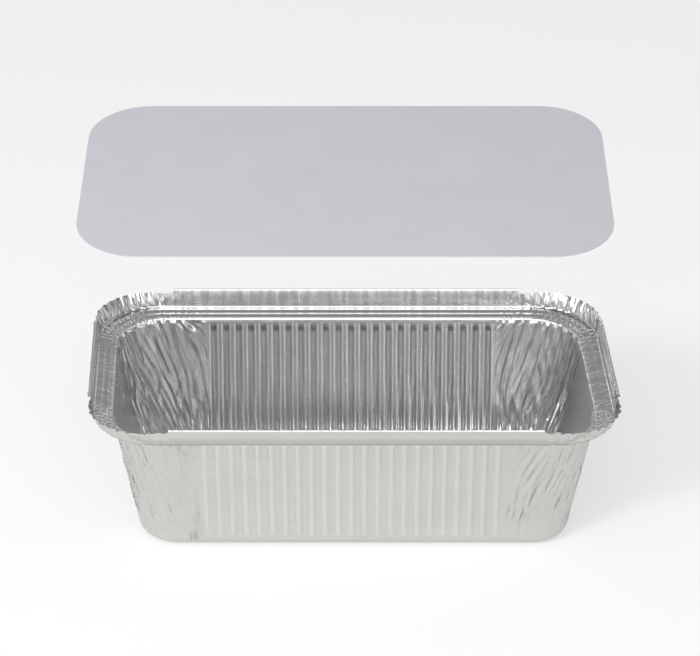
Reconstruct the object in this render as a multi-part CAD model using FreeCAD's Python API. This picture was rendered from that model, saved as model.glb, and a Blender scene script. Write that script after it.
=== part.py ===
"""Rectangular foil food container with its board lid lifted off, in millimetres.

The tray is one sheet of thin foil, pressed to shape. Its long walls carry upright flutes, its
corners gather the spare foil in pleats, and its rim is a stepped ledge with an upright edge
that folds down over the lid. The origin is on the table under the middle of the tray, +X runs
along the long side and +Z is up.
"""
import FreeCAD, Part
import math
import os

Vector = FreeCAD.Vector

# Foil and overall size of the tray
foil = 0.2
rim_length = 200.0
rim_width = 110.0

# Upright edge: it stands on the ledge, leans out, is rolled along the straight sides and is
# lower at the corners
edge_height = 7.6
rim_lean = 1.8
roll_radius = 0.5
long_roll_gap = 5.5
short_roll_gap = 0.6
corner_drop = 1.7
corner_flare = 1.8

# Stepped ledge that the lid rests on, from the upright edge inwards
ledge_height = 55.0
ledge_width = 2.4
middle_step_width = 1.8
inner_step_width = 1.4
step_slope = 0.5
step_drop = 0.7
shoulder_drop = 1.6
rim_height = ledge_height + edge_height

# Walls and base
base_inset = 17.4
base_fillet = 4.5
fillet_chords = 3
rim_corner_radius = 25.0
base_corner_radius = 14.0
panel_margin = 9.0
panel_rise = 0.8
panel_slope = 0.8
panel_corner_radius = 8.0

# Flutes pressed outwards into the long walls
flute_pitch = 5.0
flute_width = 3.0
flute_depth = 0.9
flute_tip = 1.5
flute_top_gap = 0.5
flute_foot_gap = 0.8
flute_side_gap = 10.9

# Half a flute's section from its middle out, as shares of its half width and of its depth
flute_section = ((0.0, 1.0), (0.5, 0.85), (1.0, 0.0))

# Pleats gathered in each corner, as the swing to each side of the smooth corner
pleats_per_corner = 12
foot_pleat = 0.2
wall_pleat = 0.9
ledge_pleat = 0.3
rim_pleat = 0.6

# Unevenness of the pleats: the least share of a full swing, and how it turns from one to the next
least_swing = 0.24
turn_per_fold = 2.4
turn_per_corner = 1.7

# Board lid, and where it is held above the tray
board = 0.45
lid_clearance = 0.4
lid_lift = 83.5
lid_tilt = 5.7
lid_shift_x = -2.1
lid_shift_y = 0.0

# Distance under which a point counts as lying in a plane and two lengths count as one
tolerance = 1e-6

# Quadrants in the order that an outline meets them, as the signs of X and Y
quadrants = ((1, 1), (-1, 1), (-1, -1), (1, -1))


def level_at(inset, z, pleat=0.0, flare=0.0, radius=None):
    """One level of the foil: its distance in from the rim, its height and its corner."""
    if radius is None:
        share = inset / base_inset
        radius = rim_corner_radius + (base_corner_radius - rim_corner_radius) * share
    return dict(inset=inset, z=z, radius=radius, pleat=pleat, flare=flare)


def blend(a, b, share):
    """A level between two others."""
    return {key: a[key] + (b[key] - a[key]) * share for key in a}


def food_side_levels():
    """Levels of the food side of the foil, from its raised panel out to its upright edge."""
    foot = foil + rim_lean
    step_1 = foot + ledge_width
    step_2 = step_1 + step_slope + middle_step_width
    shoulder = step_2 + step_slope + inner_step_width
    wall_top = shoulder + step_slope
    middle_z = ledge_height - step_drop
    shoulder_z = middle_z - step_drop
    wall_top_z = shoulder_z - shoulder_drop
    draft = math.atan((base_inset - wall_top) / (wall_top_z - base_fillet))
    sweep = math.pi / 2 - draft

    # The raised panel in the base
    panel_foot = base_inset + base_fillet + panel_margin
    levels = [level_at(panel_foot + panel_slope, foil + panel_rise,
                       radius=panel_corner_radius - panel_slope),
              level_at(panel_foot, foil, radius=panel_corner_radius)]

    # The rounded edge of the base, as chords of an arc that ends along the wall
    for chord in range(fillet_chords + 1):
        share = chord / fillet_chords
        angle = sweep * share
        inset = base_inset + base_fillet * (math.cos(draft) - math.sin(angle))
        levels.append(level_at(inset, foil + base_fillet * (1 - math.cos(angle)),
                               foot_pleat * share))

    levels.append(level_at(wall_top, wall_top_z, wall_pleat))
    levels.append(level_at(shoulder, shoulder_z, ledge_pleat))
    levels.append(level_at(step_2 + step_slope, shoulder_z, ledge_pleat))
    levels.append(level_at(step_2, middle_z, ledge_pleat))
    levels.append(level_at(step_1 + step_slope, middle_z, ledge_pleat))
    levels.append(level_at(step_1, ledge_height, ledge_pleat))
    levels.append(level_at(foot, ledge_height, ledge_pleat))
    levels.append(level_at(2 * roll_radius - foil, rim_height - roll_radius, rim_pleat,
                           corner_flare))
    return levels


def table_side_levels(levels):
    """The same levels on the table side of the foil, with mitred bends."""
    normals = [(0.0, -1.0)]
    for a, b in zip(levels, levels[1:]):
        run, rise = b["inset"] - a["inset"], b["z"] - a["z"]
        length = math.hypot(run, rise)
        normals.append((-rise / length, run / length))
    normals.append(normals[-1])
    moved = []
    for level, n1, n2 in zip(levels, normals, normals[1:]):
        scale = foil / (1 + n1[0] * n2[0] + n1[1] * n2[1])
        shift = scale * (n1[0] + n2[0])
        other = dict(level)
        other["inset"] += shift
        other["radius"] -= shift
        other["z"] += scale * (n1[1] + n2[1])
        moved.append(other)
    return moved


def pleat_swing(corner, fold):
    """Uneven share of the full pleat at one fold line, out on odd folds and in on even ones."""
    side = 1 if fold % 2 else -1
    wave = (1 + math.sin(turn_per_fold * fold + turn_per_corner * corner)) / 2
    return side * (least_swing + (1 - least_swing) * wave)


def corner_line(level, corner):
    """Points of one level around one pleated corner."""
    sign_x, sign_y = quadrants[corner]
    centre_x = sign_x * (rim_length / 2 - level["inset"] - level["radius"])
    centre_y = sign_y * (rim_width / 2 - level["inset"] - level["radius"])
    folds = 2 * pleats_per_corner
    points = []
    for fold in range(folds + 1):
        share = fold / folds
        radius = level["radius"] + level["flare"] * math.sin(math.pi * share)
        if 0 < fold < folds:
            radius += level["pleat"] * pleat_swing(corner, fold)
        angle = (corner + share) * math.pi / 2
        points.append(Vector(centre_x + radius * math.cos(angle),
                             centre_y + radius * math.sin(angle), level["z"]))
    return points


def outline(level):
    """The four corner lines of one level, in order."""
    return [corner_line(level, corner) for corner in range(4)]


def joined(points):
    """Closed wire through points."""
    return Part.makePolygon(points + points[:1])


def pierced(edge, holes):
    """Flat facet with holes in it."""
    return Part.makeFace([edge] + holes, "Part::FaceMakerBullseye")


def patch(a, b, c, d):
    """Facets between four points: one where they lie in a plane, otherwise two."""
    off_plane = abs((b - a).cross(c - a).normalize().dot(d - a))
    if off_plane < tolerance:
        return [Part.Face(joined([a, b, c, d]))]
    return [Part.Face(joined([a, b, c])), Part.Face(joined([a, c, d]))]


def strip(low, high):
    """Facets between two lines with as many points."""
    facets = []
    for a, b, c, d in zip(low, low[1:], high[1:], high):
        facets += patch(a, b, c, d)
    return facets


def fluted_wall(a, b, c, d, outwards, grow):
    """One long wall with its row of flutes, between its foot line and its top line."""
    along = (b - a).normalize()
    middle = (a + b) * 0.5
    slope = (c + d) * 0.5 - middle
    tall = slope.Length
    up = Vector(slope).normalize()
    out = along.cross(up)
    if out.dot(outwards) < 0:
        out = out * -1
    half_row = rim_length / 2 - base_inset - base_corner_radius - flute_side_gap
    spaces = int((2 * half_row - flute_width) / flute_pitch)
    half = flute_width / 2 + grow
    low = flute_foot_gap - grow
    high = tall - flute_top_gap + grow
    section = [(-side, depth) for side, depth in flute_section[:0:-1]] + list(flute_section)
    holes = []
    facets = []
    for number in range(spaces + 1):
        centre = middle + along * ((number - spaces / 2) * flute_pitch)
        tips = [centre + up * low, centre + up * high]
        rows = []
        for height in (low + flute_tip, high - flute_tip):
            rows.append([centre + up * height + along * (half * side) + out * (flute_depth * depth)
                         for side, depth in section])
        facets += strip(rows[0], rows[1])
        for tip, row in zip(tips, rows):
            for p, q in zip(row, row[1:]):
                facets.append(Part.Face(joined([tip, p, q])))
        holes.append(joined([rows[0][0], tips[0], rows[0][-1], rows[1][-1], tips[1], rows[1][0]]))
    return facets + [pierced(joined([a, b, c, d]), holes)]


def skin(levels, grow):
    """Facets of one side of the foil, and the line along the top of its upright edge."""
    rings = [outline(level) for level in levels[:-1]]
    foot, top = levels[-2], levels[-1]
    lowered = rim_height - corner_drop
    corner_top = blend(foot, top, (lowered - foot["z"]) / (top["z"] - foot["z"]))
    straight_top = blend(foot, top, (rim_height - roll_radius - foot["z"]) / (top["z"] - foot["z"]))
    rings.append(outline(corner_top))
    high = outline(straight_top)

    rises = [b["z"] - a["z"] for a, b in zip(levels, levels[1:])]
    wall = rises.index(max(rises))
    facets = [Part.Face(joined([point for line in rings[0] for point in line]))]
    rim_line = []
    for index, (low, up) in enumerate(zip(rings, rings[1:])):
        for corner in range(4):
            facets += strip(low[corner], up[corner])
            after = (corner + 1) % 4
            a, b, c, d = low[corner][-1], low[after][0], up[after][0], up[corner][-1]
            is_long = corner % 2 == 0
            if index == wall and is_long:
                facets += fluted_wall(a, b, c, d, Vector(0, quadrants[corner][1], 0), grow)
            elif index < len(rings) - 2:
                facets += patch(a, b, c, d)
            else:
                along = (b - a).normalize()
                gap = long_roll_gap if is_long else short_roll_gap
                half = (high[after][0] - high[corner][-1]).Length / 2 - gap
                low_middle = (c + d) * 0.5
                high_middle = (high[corner][-1] + high[after][0]) * 0.5
                notched = [low_middle - along * half, high_middle - along * half,
                           high_middle + along * half, low_middle + along * half]
                facets.append(Part.Face(joined([a, b, c] + notched[::-1] + [d])))
                rim_line += up[corner] + notched
    return facets, rim_line


def rolled_edges():
    """The rolled top of the upright edge, one bar along each straight side."""
    z = rim_height - roll_radius
    rolls = []
    for size, across, gap, axis in ((rim_length, rim_width, long_roll_gap, Vector(1, 0, 0)),
                                    (rim_width, rim_length, short_roll_gap, Vector(0, 1, 0))):
        half = size / 2 - rim_corner_radius - gap
        side = Vector(abs(axis.y), abs(axis.x), 0)
        for sign in (1, -1):
            start = side * (sign * (across / 2 - roll_radius)) - axis * half + Vector(0, 0, z)
            rolls.append(Part.makeCylinder(roll_radius, 2 * half, start, axis))
    return rolls


def make_tray():
    """The pressed foil tray: two skins a foil apart, joined along the upright edge."""
    levels = food_side_levels()
    inner, inner_line = skin(levels, 0.0)
    outer, outer_line = skin(table_side_levels(levels), foil / 2)
    rim = strip(outer_line + outer_line[:1], inner_line + inner_line[:1])
    sheet = Part.makeCompound(outer + [facet.reversed() for facet in inner] + rim)
    sheet.sewShape()
    sheet = Part.Solid(sheet)
    if sheet.Volume < 0:
        sheet.reverse()
    return sheet.fuse(rolled_edges())


def make_lid():
    """Flat board lid that drops inside the upright edge, held above the tray."""
    seat = level_at(foil + rim_lean, ledge_height)
    inset = seat["inset"] + lid_clearance
    half_x = rim_length / 2 - inset
    half_y = rim_width / 2 - inset
    radius = seat["radius"] - lid_clearance
    lid = Part.makeBox(2 * half_x, 2 * half_y, board, Vector(-half_x, -half_y, 0))
    uprights = [edge for edge in lid.Edges if abs(edge.Length - board) < tolerance]
    lid = lid.makeFillet(radius, uprights)
    place = Vector(lid_shift_x, lid_shift_y, ledge_height + lid_lift)
    lid.Placement = FreeCAD.Placement(place, FreeCAD.Rotation(Vector(1, 0, 0), lid_tilt))
    return lid


def main():
    """Writes each piece as a STEP file named after its node."""
    os.makedirs("parts", exist_ok=True)
    for name, shape in (("foil_tray", make_tray()), ("board_lid", make_lid())):
        solids = shape.Solids
        print(name, "solids", len(solids), "volume", round(shape.Volume, 1),
              "faces", len(shape.Faces), "valid", shape.isValid())
        single = solids[0] if len(solids) == 1 else Part.makeCompound(solids)
        single.exportStep("parts/" + name + ".step")


main()
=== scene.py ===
# %% [markdown]
# # A pressed foil food tray and its board lid
#
# The object is two loose pieces: a tray pressed out of one sheet of thin foil, and a flat
# board lid that is held above it. The engineering model of both is loaded first, so every
# size and place below comes from it. The lesson then makes the foil as one fine sheet with
# its flutes, pleats and creases, and gives each piece a finish built from nodes.

import math

import bmesh
import bpy
import numpy as np
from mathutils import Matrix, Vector


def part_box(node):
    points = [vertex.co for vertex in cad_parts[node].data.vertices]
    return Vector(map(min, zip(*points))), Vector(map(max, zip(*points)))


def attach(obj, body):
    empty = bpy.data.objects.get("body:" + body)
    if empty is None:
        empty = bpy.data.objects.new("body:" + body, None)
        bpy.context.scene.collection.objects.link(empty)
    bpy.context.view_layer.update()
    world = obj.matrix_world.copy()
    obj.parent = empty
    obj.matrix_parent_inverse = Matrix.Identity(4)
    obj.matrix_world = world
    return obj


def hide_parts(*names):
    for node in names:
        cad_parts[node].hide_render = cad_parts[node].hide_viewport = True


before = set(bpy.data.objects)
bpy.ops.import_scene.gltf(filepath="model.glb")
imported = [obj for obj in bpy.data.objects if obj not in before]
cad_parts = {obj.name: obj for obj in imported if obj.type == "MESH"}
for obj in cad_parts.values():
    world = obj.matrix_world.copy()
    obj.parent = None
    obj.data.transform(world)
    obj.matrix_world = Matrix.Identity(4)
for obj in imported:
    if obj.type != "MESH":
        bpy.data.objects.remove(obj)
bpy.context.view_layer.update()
tray_low, tray_high = (np.array(corner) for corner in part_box("foil_tray"))
lid_low, lid_high = (np.array(corner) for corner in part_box("board_lid"))
print("tray", tray_high - tray_low, "lid", lid_high - lid_low)

# %% [markdown]
# ## The sizes of the foil
#
# A foil tray is described by a section: how far in from the rim the sheet is, and how high,
# from the middle of the base out to the top edge. The same section runs all the way round,
# and only the corner radius changes, from wide at the rim to tight at the base. One way to
# make it is to sweep a curve with a modifier, but then the flutes and pleats would have to
# be cut in afterwards. Working out each point of a grid gives full control of every crease,
# so that is the way taken here. All values are in metres.

# %% Name the sizes
MM = 0.001
rim_length, rim_width, rim_height = 200 * MM, 110 * MM, float(tray_high[2])
rim_lean, ledge_height, skew = 1.8 * MM, 55 * MM, -0.037
base_inset, base_fillet = 17.4 * MM, 4.5 * MM
rim_corner, base_corner = 25 * MM, 14 * MM
panel_inset, panel_rise, panel_corner = 30.9 * MM, 0.8 * MM, 8 * MM
roll_size, corner_drop, corner_flare = 0.45 * MM, 1.7 * MM, 2.0 * MM
long_roll_gap, short_roll_gap = 5.5 * MM, 0.6 * MM
flute_pitch, flute_count, flute_half, flute_depth = 5 * MM, 23, 1.5 * MM, 0.95 * MM
print("flutes span", round((flute_count - 1) * flute_pitch / MM), "mm of", rim_length / MM)

# %% [markdown]
# ## The section, row by row
#
# Each row holds its inset from the rim, its height and the distance along the foil from the
# middle of the base. The rounded edge of the base is an arc. On the wall the rows stand close
# together near both ends, because the flutes start and stop there within a few millimetres.
# The distance along the foil is what the flat sheet measured before pressing, so it also
# places the rolling lines that the mill left in the metal.

# %% Divide the section
def stretch(rows, inset, height, shares):
    """Adds rows in a straight line from the last one to an inset and a height."""
    start = np.array(rows[-1])
    for share in shares:
        rows.append(tuple(start + (np.array([inset, height]) - start) * share))


def evenly(steps):
    """Shares of a stretch that is divided into equal steps."""
    return np.linspace(0, 1, steps + 1)[1:]


sheet_floor = 0.2 * MM
foot = rim_lean + sheet_floor
wall_top = foot + 7.1 * MM
wall_top_height = ledge_height - 3.0 * MM
draft = math.atan((base_inset - wall_top) / (wall_top_height - base_fillet))
fillet_rows = 6

section = [(rim_width / 2, sheet_floor + panel_rise)]
stretch(section, panel_inset + panel_rise, sheet_floor + panel_rise, evenly(3))
stretch(section, panel_inset, sheet_floor, evenly(2))
stretch(section, base_inset + base_fillet * math.cos(draft), sheet_floor, evenly(3))
for angle in np.linspace(0, math.pi / 2 - draft, fillet_rows + 1)[1:]:
    section.append((base_inset + base_fillet * (math.cos(draft) - math.sin(angle)),
                    sheet_floor + base_fillet * (1 - math.cos(angle))))
wall_start = len(section) - 1
end_share = 0.06
near_end = end_share * evenly(6)
middle = end_share + (1 - 2 * end_share) * evenly(30)
stretch(section, wall_top, wall_top_height, [*near_end, *middle, *(1 - end_share + near_end)])
wall_end = len(section) - 1
# How far in from the upright edge and below the ledge, in millimetres, and in how many rows
for inwards, below, steps in ((6.6, 1.4, 3), (5.2, 1.4, 3), (4.7, 0.7, 1), (2.9, 0.7, 3),
                              (2.4, 0.0, 1), (0.0, 0.0, 4)):
    stretch(section, foot + inwards * MM, ledge_height - below * MM, evenly(steps))
ledge_end = len(section) - 1
stretch(section, 2 * roll_size, rim_height - roll_size, evenly(9))
upright_end = len(section) - 1
section = np.array(section)
along_foil = np.concatenate([[0], np.cumsum(np.hypot(*np.diff(section, axis=0).T))])
print("rows", len(section), "foil from middle to edge", round(along_foil[-1] / MM, 1), "mm")

# %% [markdown]
# ## The columns round the tray
#
# Every column belongs to a side or a corner. On the long sides the columns follow the flutes:
# three on each flank, one in the middle and one on the flat land beside it, so that each
# flute has crisp edges with few faces. The corners, the plain ends of the long sides and the
# short sides need a column about every half millimetre for their creases.

# %% Lay out the columns
flank = np.array([1.0, 0.8, 0.5])
across_flute = np.concatenate([flank, [0], -flank[::-1]]) * flute_half
row_places = []
for number in range(flute_count):
    centre = ((flute_count - 1) / 2 - number) * flute_pitch
    row_places += [centre + flute_pitch / 2] if number else []
    row_places += list(centre + across_flute)
row_half = row_places[0]
corner_columns, plain_columns, short_columns = 100, 30, 100
columns = []
for side in range(4):
    turn = np.linspace(0, 1, corner_columns + 1)
    columns += [("corner", side, share) for share in turn[:-1]]
    if side % 2 == 0:
        plain = np.linspace(0, 1, plain_columns + 1)
        columns += [("plain", side, share) for share in plain[:-1]]
        columns += [("row", side, place) for place in row_places]
        columns += [("far", side, share) for share in plain[1:-1]]
    else:
        straight = np.linspace(0, 1, short_columns + 1)
        columns += [("side", side, share) for share in straight[:-1]]
print("columns", len(columns), "faces", len(columns) * len(section))

# %% [markdown]
# ## Creases as folded strips
#
# Crumpled foil isn't wavy: it is made of flat facets that meet in sharp creases. Smooth noise
# can't give that look. A line of random heights joined by straight runs can, and several such
# lines laid over each other in different directions divide the sheet into facets, just as
# folding a sheet in several directions would. Smooth noise still has a use: it bends the
# lines a little before they are folded, so that no crease runs dead straight. The seeds are
# fixed, so each run is the same.

# %% Make folded strips
def folds(distance, pitch, seed, lean=0.0):
    """Heights between -1 and 1 over a distance, folded at uneven steps of about one pitch."""
    rng = np.random.default_rng(seed)
    lowest, highest = distance.min() - 3 * pitch, distance.max() + 3 * pitch
    count = int((highest - lowest) / pitch) + 2
    odd = np.arange(count) % 2
    knots = np.linspace(lowest, highest, count) + rng.uniform(-0.3, 0.3, count) * pitch
    heights = np.where(odd, 1, -1) * rng.uniform(0.3, 1.0, count)
    return np.interp(distance, knots - lean * pitch * odd, heights)


def ramp(values, start, end):
    """Goes from 0 at start to 1 at end, smoothly."""
    share = np.clip((values - start) / (end - start), 0, 1)
    return share * share * (3 - 2 * share)


def uneven(a, b, pitch_a, pitch_b, seed):
    """Smooth noise between -1 and 1 over two distances."""
    a, b = np.broadcast_arrays((a - a.min()) / pitch_a, (b - b.min()) / pitch_b)
    i, j = a.astype(int), b.astype(int)
    heights = np.random.default_rng(seed).uniform(-1, 1, (i.max() + 2, j.max() + 2))
    f, g = ramp(a - i, 0, 1), ramp(b - j, 0, 1)
    near = heights[i, j] * (1 - f) + heights[i + 1, j] * f
    far = heights[i, j + 1] * (1 - f) + heights[i + 1, j + 1] * f
    return near * (1 - g) + far * g


print("a quarter of the way along, a ramp is at", ramp(0.25, 0, 1))

# %% [markdown]
# ## The smooth shape of the tray
#
# The grid's points, before any crease, are found column by column, for all rows at once. The
# signs of the four corners come in the order in which the outline meets them, anticlockwise
# from the one at +X and +Y. Beside each point the loop keeps which way is outwards, how far
# the column is round the rim, and how far it is from the last flute of its quarter.

# %% Place the smooth points
signs = ((1, 1), (-1, 1), (-1, -1), (1, -1))
quarter = math.pi / 2
inset, height = section.T
corner_radius = rim_corner + (base_corner - rim_corner) * np.minimum(inset / base_inset, 1)
share = np.clip((inset - base_inset) / (panel_inset - base_inset), 0, 1)
corner_radius = corner_radius + (panel_corner - base_corner) * share
corner_radius = np.minimum(corner_radius, rim_width / 2 - inset)
half_x = rim_length / 2 - inset - corner_radius
half_y = rim_width / 2 - inset - corner_radius
corner_round = quarter * rim_corner
rows_n, columns_n = len(section), len(columns)
points = np.zeros((rows_n, columns_n, 3))
points[:, :, 2] = height[:, None]
outwards = np.zeros((columns_n, 2))
round_rim, beside, from_flutes, flute, corner_share = np.zeros((5, columns_n))
quarter_of = np.zeros(columns_n, dtype=int)
for index, (kind, side, place) in enumerate(columns):
    sign_x, sign_y = signs[side]
    is_long = side % 2 == 0
    half_edge = (rim_length if is_long else rim_width) / 2 - rim_corner
    start_of_side = side * (rim_length + rim_width)
    if kind == "corner":
        angle = (side + place) * quarter
        outwards[index] = math.cos(angle), math.sin(angle)
        points[:, index, 0] = sign_x * half_x + corner_radius * math.cos(angle)
        points[:, index, 1] = sign_y * half_y + corner_radius * math.sin(angle)
        round_rim[index] = start_of_side + place * corner_round
        corner_share[index] = place
        turned = 1 - place if is_long else place
        from_flutes[index] = rim_length / 2 - rim_corner - row_half + turned * corner_round
        quarter_of[index] = side
        continue
    outwards[index] = (0, sign_y) if is_long else (sign_x, 0)
    if kind == "side":
        across = half_y * (1 - 2 * place)
        points[:, index, 0] = sign_x * (half_x + corner_radius)
        points[:, index, 1] = sign_y * across
    else:
        if kind == "row":
            across = np.full(rows_n, place)
            off = abs(place / flute_pitch - round(place / flute_pitch)) * flute_pitch
            flute[index] = np.interp(off / flute_half, [0, 0.5, 0.8, 1.0], [1, 0.82, 0.3, 0])
        elif kind == "plain":
            across = half_x + (row_half - half_x) * place
        else:
            across = -row_half + (row_half - half_x) * place
        across = np.clip(across, -half_x, half_x)
        points[:, index, 0] = sign_x * across
        points[:, index, 1] = sign_y * (half_y + corner_radius)
    rim_across = across[-1]
    round_rim[index] = start_of_side + corner_round + half_edge - rim_across
    beside[index] = half_edge - abs(rim_across)
    quarter_of[index] = side if rim_across > 0 else (side + 1) % 4
    past_corner = rim_length / 2 - rim_corner - row_half + corner_round
    from_flutes[index] = max(abs(rim_across) - row_half, 0) if is_long else past_corner + beside[index]
print("smooth tray spans", points[:, :, 0].max() / MM, points[:, :, 1].max() / MM)

# %% [markdown]
# ## Flutes, pleats and creases
#
# The press gathers the spare foil in the corners. The pleats stand at the top of the wall and
# die out towards the base, and they lean towards the foot of the flutes, because the corner is
# narrower there. Beside the last flute the flat wall holds the foil back, so it hangs in
# nested folds that come off the ledge in a curve. The ledge has finer pleats, ironed flat by
# the press, and the upright edge is crimped. Each of these is a height at right angles to the
# foil, and a mask that says where it belongs. Two distances place them: `s` runs along the
# foil from the middle of the base to its edge, and `w` runs round the rim.

# %% Say where each crease belongs
s = along_foil[:, None]
w = round_rim[None, :]
row_number = np.arange(rows_n)[:, None]
wall_foot, wall_head = along_foil[wall_start], along_foil[wall_end]
up_wall = np.clip((s - wall_foot) / (wall_head - wall_foot), 0, 1)
down = wall_head - s
on_wall = (row_number <= wall_end) * ramp(s, along_foil[wall_start - fillet_rows], wall_foot + 2 * MM)
on_ledge = ((row_number > wall_end) & (row_number <= ledge_end)).astype(float)
on_upright = (row_number > ledge_end).astype(float)
up_edge = np.clip((row_number - ledge_end) / (upright_end - ledge_end), 0, 1)

long_side = np.array([kind in ("plain", "row", "far") for kind, _, _ in columns])
cornerness = np.array([kind == "corner" for kind, _, _ in columns])
from_row = from_flutes[None, :]
spread = 200 * MM * quarter_of[None, :]
fades = np.where(long_side, ramp(from_flutes, 0.8 * MM, 7 * MM), 1 - ramp(beside, 0, 11 * MM))
crumple = fades[None, :]
drape = ramp(from_row, 0.4 * MM, 3 * MM) * (1 - ramp(from_row, 9 * MM, 19 * MM))
print("columns with creases", int((fades > 0).sum()))

# %% [markdown]
# The wall gets four kinds of crease: fine and wide pleats that run up it, slanted ones in
# patches, and faint ones that cross them where the slanted ones are missing. Beside the
# flutes hang the nested folds. The flutes are heights as well. They grow in at their foot
# and fade at their top, as the press tool leaves them.

# %% Crease the wall
bent = from_row + spread + 0.9 * MM * uneven(from_row + spread, s, 7 * MM, 11 * MM, 61)
leaning = bent + 0.16 * down
fine = folds(leaning, 1.15 * MM, 11, 0.25)
wide = folds(leaning + 0.12 * down, 3.1 * MM, 12, 0.2)
slanted = folds(bent + 0.5 * down, 2.0 * MM, 13, 0.5)
crossed = folds(bent - 0.5 * down, 3.4 * MM, 14)
patches = ramp(uneven(from_row + spread, s, 6 * MM, 13 * MM, 62), -0.3, 0.5)
small_patches = ramp(uneven(from_row + spread, s, 3 * MM, 8 * MM, 63), -0.5, 0.4)
wall_relief = 0.27 * fine * (0.3 + 0.7 * up_wall) * (0.35 + 0.65 * small_patches)
wall_relief = wall_relief + 0.5 * wide * (0.3 + 0.7 * up_wall)
wall_relief = wall_relief + 0.62 * slanted * patches + 0.2 * crossed * (1 - patches)

curve, curve_drop = 11 * MM, 9 * MM
hanging = bent - curve * np.exp(-down / curve_drop) + 0.06 * down
nested = folds(hanging, 1.9 * MM, 41, 0.3) * (0.45 + 0.55 * patches)
wall_relief = wall_relief * crumple + 0.75 * nested * drape * (1 - 0.6 * up_wall ** 8)

grown = ramp(s - wall_foot, 0.9 * MM, 2.2 * MM) * (1 - ramp(s - wall_head, -2.3 * MM, -0.4 * MM))
wall_relief = wall_relief + flute[None, :] * grown * flute_depth / MM
flat_land = (1 - crumple) * (1 - flute[None, :])
wall_relief = wall_relief + 0.05 * flat_land * uneven(w, s, 9 * MM, 14 * MM, 64)
print("deepest crease on the wall", round(float(wall_relief.max()), 2), "mm")

# %% [markdown]
# The ledge and the upright edge get their own creases. On the short sides the press leaves
# small ribs across the lowest step. The ends of the upright edge's straight stretches are
# crumpled, because the foil changes there from the rolled edge to the crimped corner. Between
# those ends the edge has only faint streaks, and it leans out a little unevenly. All heights
# are in millimetres up to the last line, which adds them up.

# %% Crease the ledge and the edge
ledge_bent = w + 0.5 * MM * uneven(w, s, 3 * MM, 2 * MM, 71)
ledge_relief = 0.13 * folds(ledge_bent, 0.75 * MM, 21)
ledge_relief = ledge_relief + 0.14 * folds(ledge_bent + 0.5 * s, 1.5 * MM, 22)
ledge_relief = ledge_relief + 0.08 * folds(ledge_bent - 0.7 * s, 1.1 * MM, 23)
low_step = (row_number > wall_end) & (row_number <= wall_end + 3)
on_short = ~(long_side | cornerness)[None, :]
ribs = folds(w + 0 * s, 0.75 * MM, 24) * on_short * (0.09 + 0.12 * low_step)
crimps = 0.32 * folds(w + 0 * s, 0.85 * MM, 31, 0.3) + 0.5 * folds(w + 0.12 * s, 2.1 * MM, 32, 0.3)
crimps = crimps * (0.45 + 0.55 * up_edge) + 0.14 * folds(w - 0.6 * s, 1.9 * MM, 33)
buckles = 0.16 * folds(w + 1.1 * s, 2.6 * MM, 34) + 0.16 * folds(w - 0.9 * s, 3.4 * MM, 35)
streaks = 0.03 * folds(w + 0.1 * s, 1.9 * MM, 36) + 0.05 * folds(w + 0.06 * s, 6 * MM, 37)
edge_fades = np.where(cornerness, 1, 1 - ramp(beside, 3 * MM, 7 * MM))[None, :]
by_hem_end = ramp(beside, 0, 3 * MM) * (1 - ramp(beside, 9 * MM, 17 * MM))
near_hem_end = np.where(long_side, by_hem_end, 0)[None, :]
edge_relief = crimps * edge_fades + buckles * near_hem_end * 0.35 + streaks * (1 - edge_fades)
leans = 0.04 * folds(w + 0 * s, 1.6 * MM, 38) + 0.08 * folds(w + 0 * s, 6 * MM, 39) + 0.1
edge_relief = edge_relief + leans * up_edge * (1 - edge_fades)

ledge_relief = (ledge_relief * crumple + ribs) * on_ledge
lift = MM * (wall_relief * on_wall + ledge_relief + edge_relief * on_upright)
print("deepest crimp", round(float(edge_relief.max()), 2), "mm")

# %% [markdown]
# The heights are applied along the foil's own normal, which leans out with the wall and
# points up on the ledge. The corners of the upright edge are then lowered and flared, and the
# whole edge is bowed in a little half way up.

# %% Apply the creases
tangent = np.gradient(section, axis=0)
tangent = tangent / np.hypot(tangent[:, 0], tangent[:, 1])[:, None]
outward_part, upward_part = lift * tangent[:, 1:], lift * tangent[:, :1]
roll_gap = np.where(long_side, long_roll_gap, short_roll_gap)
has_roll = ~cornerness & (beside > roll_gap)
top_wave = folds(round_rim, 1.7 * MM, 51)
flare = corner_flare * np.sin(math.pi * corner_share) ** 0.7
lowered = np.where(has_roll, 0, corner_drop - roll_size + 0.22 * MM * top_wave)
bow = 0.2 * MM * np.sin(math.pi * up_edge)
outward_part = outward_part + up_edge * flare[None, :] - bow
points[:, :, 0] += outward_part * outwards[None, :, 0]
points[:, :, 1] += outward_part * outwards[None, :, 1]
points[:, :, 2] += upward_part - up_edge * lowered[None, :]
print("columns that carry the roll", int(has_roll.sum()))

# %% [markdown]
# ## The rolled top edge
#
# Along the straight sides the foil is rolled outwards into a bead, and it stops short of the
# corners. The roll is the same sheet carried on for a few more rows, so its rows are added
# only to the columns that have it. Last, the corners and short sides are pushed a little out
# of square, as thin foil is once it has been handled. The flutes stiffen the long walls, so
# they stay in place, and the plain foil beside them takes up the difference.

# %% Roll the edge
roll_turns = np.linspace(0, 1.7 * math.pi, 9)[1:]
roll = np.repeat(points[-1:], len(roll_turns), axis=0)
out = roll_size * (1 - np.cos(roll_turns))[:, None]
roll[:, :, 0] += out * outwards[:, 0]
roll[:, :, 1] += out * outwards[:, 1]
roll[:, :, 2] += roll_size * np.sin(roll_turns)[:, None]
grid = np.concatenate([points, roll])
give = 14 * MM
pushed = skew * np.where(long_side, ramp(from_flutes, 0, give), 1)
grid[:, :, 0] += pushed[None, :] * grid[:, :, 1]
print("roll stands", round(roll_size * 2 / MM, 2), "mm wide")

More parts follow.
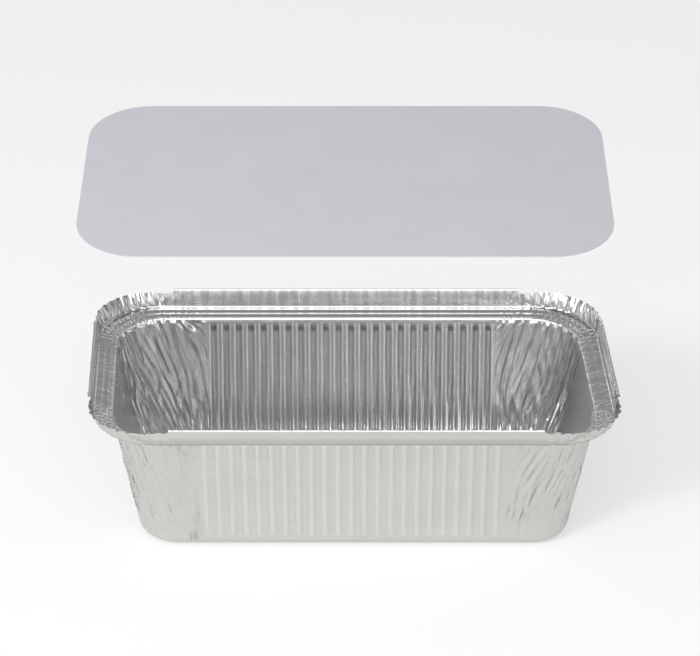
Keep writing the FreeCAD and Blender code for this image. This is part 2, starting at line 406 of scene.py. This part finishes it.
# %% [markdown]
# ## From grid to mesh
#
# The grid is closed round the tray, and its first row folds up along the middle of the base,
# so points there meet in pairs and are merged. The flat sheet's own coordinates go into a UV
# map: along the rolling direction and across it. Those let the finish follow the metal.

# %% Build the foil mesh
def grid_mesh(name, grid, flat, keep):
    """Makes a mesh from a closed grid of points, with the flat sheet's coordinates as UVs."""
    count = grid.shape[0] * grid.shape[1]
    number = np.arange(count).reshape(grid.shape[:2])
    around = np.roll(number, -1, axis=1)
    quads = np.stack([number[:-1], around[:-1], around[1:], number[1:]], axis=-1)
    quads = quads[keep & np.roll(keep, -1, axis=1)]
    mesh = bpy.data.meshes.new(name)
    mesh.from_pydata(grid.reshape(-1, 3).tolist(), [], quads.tolist())
    layer = mesh.uv_layers.new(name="flat_sheet")
    corners = np.empty(len(mesh.loops), dtype=np.int32)
    mesh.loops.foreach_get("vertex_index", corners)
    layer.data.foreach_set("uv", flat.reshape(-1, 2)[corners].ravel())
    return mesh


extra = along_foil - (rim_width / 2 - inset)
flat = points[:, :, :2] + extra[:, None, None] * outwards[None, :, :]
roll_step = roll_size * 0.6
rolled = np.arange(1, len(roll_turns) + 1)[:, None, None] * roll_step
flat = np.concatenate([flat, flat[-1:] + rolled * outwards[None, :, :]])
keep = np.ones((grid.shape[0] - 1, columns_n), dtype=bool)
keep[rows_n - 1:] = has_roll[None, :]

tray_mesh = grid_mesh("tray_foil", grid, flat, keep)
tray = bpy.data.objects.new("tray_foil", tray_mesh)
bpy.context.scene.collection.objects.link(tray)
sheet = bmesh.new()
sheet.from_mesh(tray_mesh)
bmesh.ops.remove_doubles(sheet, verts=sheet.verts, dist=0.002 * MM)
loose = [vertex for vertex in sheet.verts if not vertex.link_faces]
bmesh.ops.delete(sheet, geom=loose, context="VERTS")
bmesh.ops.recalc_face_normals(sheet, faces=sheet.faces)
outward = sum(face.normal.dot(face.calc_center_median()) * face.calc_area() for face in sheet.faces)
if outward < 0:
    bmesh.ops.reverse_faces(sheet, faces=sheet.faces)
sheet.to_mesh(tray_mesh)
sheet.free()
tray_mesh.shade_smooth()
print("foil faces", len(tray_mesh.polygons))

# %% [markdown]
# ## Arithmetic on sockets
#
# A finish is a graph of nodes, and writing it as arithmetic keeps it readable. The class
# below wraps one output socket. Each operator on values adds a Math node, also when the
# number stands on the left, so that `1 - mask` works.

# %% Wrap a socket
class Signal:
    """One output socket of a finish, with arithmetic that adds Math nodes."""

    def __init__(self, finish, socket):
        self.finish = finish
        self.socket = socket

    def math(self, operation, *others):
        """A Math node that starts from this signal."""
        return self.finish.node("ShaderNodeMath", {"operation": operation},
                                dict(enumerate((self, *others))))

    def above(self, limit):
        """1 where the signal is greater than a limit, and 0 elsewhere."""
        return self.math("GREATER_THAN", limit)

    def below(self, limit):
        """1 where the signal is less than a limit, and 0 elsewhere."""
        return self.math("LESS_THAN", limit)

    def __add__(self, other):
        return self.math("ADD", other)

    def __mul__(self, other):
        return self.math("MULTIPLY", other)

    def __sub__(self, other):
        return self.math("SUBTRACT", other)

    def __rsub__(self, other):
        return self.finish.node("ShaderNodeMath", {"operation": "SUBTRACT"}, {0: other, 1: self})

    __radd__ = __add__
    __rmul__ = __mul__


print("operators", [name for name in vars(Signal) if name.startswith("__r")])

# %% [markdown]
# ## One method for every other node
#
# Every other node comes from one method, which takes the node's type, its settings and what
# its sockets get: a signal is linked, and a plain value is set. The short methods after it
# name the few nodes that the finishes use again and again. Colours are mixed by Mix nodes,
# and places are stretched by Vector Math nodes, because a Math node would turn them grey or
# lose an axis.

# %% Gather the nodes of a finish
class Finish:
    """The nodes of one material or of the world, which all come from one method."""

    def __init__(self, owner):
        owner.use_nodes = True
        self.owner = owner
        self.tree = owner.node_tree
        self.shader = self.tree.nodes.get("Principled BSDF")

    def node(self, kind, settings=None, sockets=None, output=0):
        """Adds a node with its settings, then joins or sets its sockets."""
        made = self.tree.nodes.new(kind)
        for key, value in (settings or {}).items():
            setattr(made, key, value)
        for name, value in (sockets or {}).items():
            self.join(made.inputs[name], value)
        return Signal(self, made.outputs[output])

    def join(self, socket, value):
        """Links a signal to a socket, or sets the socket to a value."""
        if isinstance(value, Signal):
            self.tree.links.new(value.socket, socket)
        else:
            socket.default_value = value

    def surface(self, **values):
        """Sets or links the shader's own sockets, named with underscores."""
        for name, value in values.items():
            self.join(self.shader.inputs[name.replace("_", " ")], value)

    def noise(self, place, scale, detail=2.0, roughness=0.5):
        """Noise between 0 and 1 at a place."""
        return self.node("ShaderNodeTexNoise", None,
                         {"Vector": place, "Scale": scale, "Detail": detail,
                          "Roughness": roughness})

    def between(self, value, low, high, start=0.0, end=1.0):
        """A value eased from start to end while it goes from low to high."""
        return self.node("ShaderNodeMapRange", {"interpolation_type": "SMOOTHSTEP"},
                         {0: value, 1: low, 2: high, 3: start, 4: end})

    def stretched(self, place, along, across, through=1.0):
        """A place with each axis scaled by its own number."""
        return self.node("ShaderNodeVectorMath", {"operation": "MULTIPLY"},
                         {0: place, 1: (along, across, through)})

    def blend(self, first, second, share):
        """A colour that goes from the first to the second with the share."""
        return self.node("ShaderNodeMix", {"data_type": "RGBA"},
                         {6: first, 7: second, 0: share}, output=2)


print("methods", [name for name in vars(Finish) if not name.startswith("_")])

# %% [markdown]
# ## Places on the foil
#
# What a spot of the foil looks like depends on which part of the tray it became. The flat
# sheet's own coordinates tell that, because they hold the distance from the middle of the
# base along each axis. On a long wall the second one runs up the wall, and on a short wall
# the first one does. Each mask below is 1 on its part and 0 elsewhere. The faces of the
# sheet look outwards, so Backfacing is 1 on the inside of the tray.

# %% Find the parts of the foil
foil = Finish(bpy.data.materials.new("bright_foil"))
flat_place = foil.node("ShaderNodeUVMap", {"uv_map": "flat_sheet"})
flat_u = foil.node("ShaderNodeSeparateXYZ", None, {0: flat_place})
flat_v = foil.node("ShaderNodeSeparateXYZ", None, {0: flat_place}, output=1)
reach_u, reach_v = flat_u.math("ABSOLUTE"), flat_v.math("ABSOLUTE")
inside = foil.node("ShaderNodeNewGeometry", output="Backfacing")
outside = 1 - inside

straight_u, straight_v = rim_length / 2 - rim_corner, rim_width / 2 - rim_corner
short_extra = (rim_length - rim_width) / 2
ledge_start, edge_start = along_foil[wall_end], along_foil[ledge_end]
on_short_ledge = (reach_u.above(ledge_start + short_extra)
                  * reach_u.below(edge_start + short_extra) * reach_v.below(straight_v))
on_flutes = (reach_u.below(row_half + 0.3 * MM)
             * foil.between(reach_v, wall_foot, wall_foot + 3 * MM)
             * foil.between(reach_v, wall_head - 0.9 * MM, wall_head - 0.3 * MM, 1, 0))
on_edge = reach_v.above(edge_start - 0.2 * MM)
past_u = (reach_u - straight_u).math("MAXIMUM", 0)
past_v = (reach_v - straight_v).math("MAXIMUM", 0)
# The crimped corners of the edge, where the finish paints shade on the inside
on_crimps = (past_u * past_u + past_v * past_v).above((edge_start - straight_v) ** 2)
on_crimps = on_crimps * past_u.above(MM) * past_v.above(MM)
print("from the middle of the base, ledge at", round(ledge_start / MM, 1),
      "and edge at", round(edge_start / MM, 1), "mm of foil")

# %% [markdown]
# ## Marks and painted light on the foil
#
# The mill leaves fine lines along the rolling direction, and handling leaves faint clouds.
# The press tool prints small ribs across the short ledges. The colour also carries painted
# light: painted highlights on the shoulders and ridges of the flutes, in streaks up the inside
# of the edge and on the ribs, and painted shade in the grooves, most near their tops, on the
# land between the flutes, at the foot of the outer band and in the crimped corners inside.
# Noise that is stretched along one axis gives the lines, the streaks and the ribs. A Ping-Pong
# operation gives the distance from the nearest flute, which places the rest.

# %% Draw the marks
lines = foil.noise(foil.stretched(flat_place, 14, 1100, 0), 1.0, 3.0, 0.6)
wide_lines = foil.noise(foil.stretched(flat_place, 6, 160, 0), 1.0, 2.0, 0.5)
clouds = foil.noise(foil.stretched(flat_place, 30, 60, 0), 1.0, 3.0, 0.55)
press_ribs = foil.noise(foil.stretched(flat_place, 60, 1500, 0), 1.0, 1.0, 0.5)
# Streaky noise for the painted light up the edge and in the crimped corners
streaky_noise = foil.noise(foil.stretched(flat_place, 420, 40, 0), 1.0, 2.0, 0.6)

off_groove = flat_u.math("PINGPONG", flute_pitch / 2)
# Painted shade in the grooves of the flutes, deepest near their tops where a shadow drops
groove = on_flutes * foil.between(off_groove, 0.7 * MM, 1.4 * MM, 1, 0)
groove_top = foil.between(reach_v, wall_head - 3.6 * MM, wall_head - 2.4 * MM)
# Painted highlight on the shoulders beside each groove
shoulder = on_flutes * foil.between(off_groove, 1.2 * MM, 1.6 * MM)
shoulder = shoulder * foil.between(off_groove, 1.65 * MM, 1.95 * MM, 1, 0)
# Painted shade on the land between the flutes
land = on_flutes * foil.between(off_groove, 1.9 * MM, 2.3 * MM)
# Painted highlight on the ridges of the flutes, used on the outside
ridge = on_flutes * foil.between(off_groove, 1.2 * MM, 1.8 * MM, 1, 0)

# Painted shade at the foot of the outer band, below the rolled edge
band_foot = foil.between(reach_v, edge_start + 1 * MM, edge_start + 4 * MM, 1, 0)
# Streaks of painted light: painted highlight up the inside of the edge, painted shade in the crimped
# corners
painted_light_streaks = foil.between(streaky_noise, 0.35, 0.7)
strip_end = ledge_start + short_extra + 2 * MM
by_the_wall = on_short_ledge * foil.between(reach_u, strip_end, strip_end + 1 * MM, 1, 0.42)
# Painted highlight on the ribs of the short ledges, which the bump also raises as relief
rib_highlights = by_the_wall * foil.between(press_ribs, 0.45, 0.65)
print("nodes for the marks", len(foil.tree.nodes))

# %% [markdown]
# ## Bright rolled foil
#
# Foil is bare metal, so its look is mostly what it mirrors, and its finish has to break the
# mirror in the right places. Thin foil is rolled two sheets at a time, so one side comes out
# matt and the other bright. The tray has the matt side outside. The rolling lines vary the
# colour and give a low relief, the clouds vary the roughness, and painted shade and painted
# highlights make the colour darker or lighter. Outside, the crumpled ends are smoother than
# the fluted walls, which lets their creases glint.

# %% Make the foil's finish
rolled_relief = foil.node("ShaderNodeBump", None,
                          {"Strength": 0.3, "Distance": 0.04 * MM, "Height": wide_lines})
relief = foil.node("ShaderNodeBump", None,
                   {"Strength": 0.8, "Distance": 0.3 * MM, "Normal": rolled_relief,
                    "Height": press_ribs * by_the_wall})

matt_dark, matt_light = (0.53, 0.524, 0.508, 1), (0.7, 0.692, 0.672, 1)
bright_dark, bright_light = (0.6, 0.603, 0.607, 1), (0.76, 0.763, 0.767, 1)
# Painted shade grey and painted highlight white, laid over the foil's own tone
painted_shade_grey, painted_highlight_white = (0.2, 0.205, 0.21, 1), (1, 1, 1, 1)
rolled_share = 0.35 * clouds + 0.65 * lines
tone = foil.blend(foil.blend(matt_dark, matt_light, rolled_share),
                  foil.blend(bright_dark, bright_light, rolled_share), inside)

# Painted shade: inside on the land, in the grooves and at their tops, and in the crimped corners;
# outside at the foot of the band
painted_shade = inside * (0.28 * land + groove * (0.28 + 0.6 * groove_top))
painted_shade = painted_shade + 0.3 * outside * on_edge * band_foot
painted_shade = painted_shade + inside * on_crimps * (0.25 + 0.45 * painted_light_streaks)
# Painted highlight: inside on the flute shoulders, in streaks up the edge and on the ledge ribs;
# outside on the flute ridges
painted_highlight = inside * (shoulder + 0.75 * on_edge * painted_light_streaks + 0.8 * rib_highlights)
painted_highlight = painted_highlight + 0.13 * outside * ridge
# The foil's own tone, darkened by painted shade and lightened by painted highlight
tone = foil.blend(foil.blend(tone, painted_shade_grey, painted_shade), painted_highlight_white, painted_highlight)

crumpled_ends = foil.between(reach_u, 66 * MM, 78 * MM)
roughness = 0.4 + 0.06 * clouds - inside * (0.25 - 0.06 * on_flutes)
roughness = roughness - 0.16 * outside * crumpled_ends
foil.surface(Base_Color=tone, Metallic=1.0, Normal=relief, Roughness=roughness)
tray_mesh.materials.append(foil.owner)
print("foil nodes", len(foil.tree.nodes))

# %% [markdown]
# ## Coated board
#
# The lid is plain board with a smooth pale coating. It is matt, almost even in colour, with
# a trace of fibre that only shows close by. The engineering solid already has the right
# outline and thickness, so it stays, and only its finish changes. The lid hangs close above
# the tray, where it would shade the foil and show its underside in it. The photograph has
# neither, so the lid is left out of shadows and of mirrors.

# %% Make the board's finish
board = Finish(bpy.data.materials.new("coated_board"))
place = board.node("ShaderNodeTexCoord", output=3)
fibres = board.noise(board.stretched(place, 300, 900, 900), 1.0, 4.0, 0.6)
mottle = board.noise(place, 60.0, 3.0, 0.5)
board_dark, board_light = (0.5, 0.495, 0.54, 1), (0.54, 0.535, 0.58, 1)
shade = board.blend(board_dark, board_light, mottle)
board_relief = board.node("ShaderNodeBump", None,
                          {"Strength": 0.15, "Distance": 0.1 * MM, "Height": fibres})
board.surface(Base_Color=shade, Roughness=0.55 + 0.1 * mottle, Normal=board_relief)
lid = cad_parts["board_lid"]
lid.visible_glossy = False
lid.visible_shadow = False
lid.material_slots[0].material = board.owner
print("lid faces", len(lid.data.polygons))

# %% [markdown]
# ## Floor and surround
#
# A plain pale floor and a white surround stand in for the studio. Metal shows its
# surroundings, so the white is also what reflections see, while the light that falls on the
# object is set on its own. Light Path nodes make that difference: they tell a camera ray
# from a ray that has left metal or glass, and both from the light that lands on a surface.

# %% Lay the floor and the surround
def sheet_at(name, corners, finish):
    """A flat stage sheet through four corners."""
    mesh = bpy.data.meshes.new(name)
    mesh.from_pydata(corners, [], [(0, 1, 2, 3)])
    mesh.materials.append(finish.owner)
    thing = bpy.data.objects.new(name, mesh)
    bpy.context.scene.collection.objects.link(thing)
    return thing


def seen_directly(finish, in_camera, in_mirrors):
    """A value for camera rays, another for glossy and transmission rays, and 0 for the rest."""
    camera_ray, glossy_ray, through_ray = (
        finish.node("ShaderNodeLightPath", output=output)
        for output in ("Is Camera Ray", "Is Glossy Ray", "Is Transmission Ray"))
    return in_camera * camera_ray + in_mirrors * glossy_ray.math("MAXIMUM", through_ray)


floor_reach, floor_drop, floor_glow, mirrored_glow = 6.0, 0.0002, 0.5, 0.2
floor_finish = Finish(bpy.data.materials.new("pale_floor"))
floor_finish.surface(Base_Color=(0.9, 0.9, 0.9, 1), Roughness=0.9)
glow = floor_finish.node("ShaderNodeEmission", None, {"Color": (1, 1, 1, 1), "Strength": 1.0})
lit = Signal(floor_finish, floor_finish.shader.outputs[0])
glow_share = seen_directly(floor_finish, floor_glow, mirrored_glow)
mixed = floor_finish.node("ShaderNodeMixShader", None, {0: glow_share, 1: lit, 2: glow})
floor_finish.join(floor_finish.tree.nodes["Material Output"].inputs["Surface"], mixed)
sheet_at("floor", [(x * floor_reach, y * floor_reach, -floor_drop)
                   for x, y in ((-1, -1), (1, -1), (1, 1), (-1, 1))], floor_finish)

world = bpy.data.worlds.new("studio")
bpy.context.scene.world = world
surround = Finish(world)
ambient = 0.56
background = surround.tree.nodes["Background"]
background.inputs["Color"].default_value = (1, 1, 1, 1)
surround.join(background.inputs["Strength"],
              ambient + seen_directly(surround, 1 - ambient, 1 - ambient))
print("surround lights the object at", ambient)

# %% [markdown]
# ## Dark flags
#
# Where everything round a mirror is white, the mirror looks like white paper. Photographers
# stand dark flags out of the picture for that reason, and the same is done here: one on each
# side, one above and one behind. They only show in the metal, where they make the greys. The
# flags at the sides start 0.45 m above the floor, so that low reflections still see white.

# %% Stand the flags
flag_finish = Finish(bpy.data.materials.new("dark_flag"))
flag_finish.surface(Base_Color=(0.01, 0.01, 0.01, 1), Roughness=1.0,
                    Emission_Color=(1, 1, 1, 1), Emission_Strength=0.3)
side_x, top_z, back_y, side_low, back_low = 0.8, 1.3, 1.2, 0.45, 0.35
flags = {"flag_above": [(-side_x, -0.3, top_z), (side_x, -0.3, top_z),
                        (side_x, 0.8, top_z), (-side_x, 0.8, top_z)],
         "flag_back": [(-side_x, back_y, back_low), (side_x, back_y, back_low),
                       (side_x, back_y, top_z), (-side_x, back_y, top_z)]}
for name, x in (("flag_left", -side_x), ("flag_right", side_x)):
    flags[name] = [(x, -1.2, side_low), (x, 0.8, side_low), (x, 0.8, top_z), (x, -1.2, top_z)]
for name, corners in flags.items():
    flag = sheet_at(name, corners, flag_finish)
    for ray in ("camera", "diffuse", "transmission", "volume_scatter", "shadow"):
        setattr(flag, "visible_" + ray, False)
print("flags", len(flags))

# %% [markdown]
# ## Lamps and camera
#
# Two soft lamps light the object. The key stands front left and gives the floor its shadow.
# The larger one stands high in front and softens that shadow. The camera is far away with a
# long lens, as product photographs are taken, and looks down at the angle fitted to the
# photograph.

# %% Hang the lamps and set the camera
def lamp(name, place, size, power):
    """A soft square lamp that faces the tray."""
    data = bpy.data.lights.new(name, "AREA")
    data.size, data.energy = size, power
    thing = bpy.data.objects.new(name, data)
    thing.location = place
    aim_at = Vector((0, 0, 0.03)) - Vector(place)
    thing.rotation_euler = aim_at.to_track_quat("-Z", "Y").to_euler()
    bpy.context.scene.collection.objects.link(thing)


lamp("key", (-0.6, -0.75, 0.75), 0.3, 6.5)
lamp("front", (0, -0.9, 0.95), 1.2, 6.0)

elevation, distance, pixels, focal_pixels = math.radians(29.2), 1.1, 700, 2876
aim = Vector((-0.0004, 0, 0.0751))
camera_data = bpy.data.cameras.new("camera")
camera_data.sensor_width = 36
camera_data.lens = 36 * focal_pixels / pixels
camera_data.clip_start, camera_data.clip_end = 0.05, 50
camera = bpy.data.objects.new("camera", camera_data)
camera.location = aim + distance * Vector((0, -math.cos(elevation), math.sin(elevation)))
camera.rotation_euler = (math.pi / 2 - elevation, 0, 0)
bpy.context.scene.collection.objects.link(camera)
bpy.context.scene.camera = camera
bpy.context.scene.view_settings.view_transform = "Standard"
print("lens", round(camera_data.lens, 1))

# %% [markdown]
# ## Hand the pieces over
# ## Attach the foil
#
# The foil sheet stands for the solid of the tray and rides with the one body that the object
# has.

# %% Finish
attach(tray, "root")
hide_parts("foil_tray")
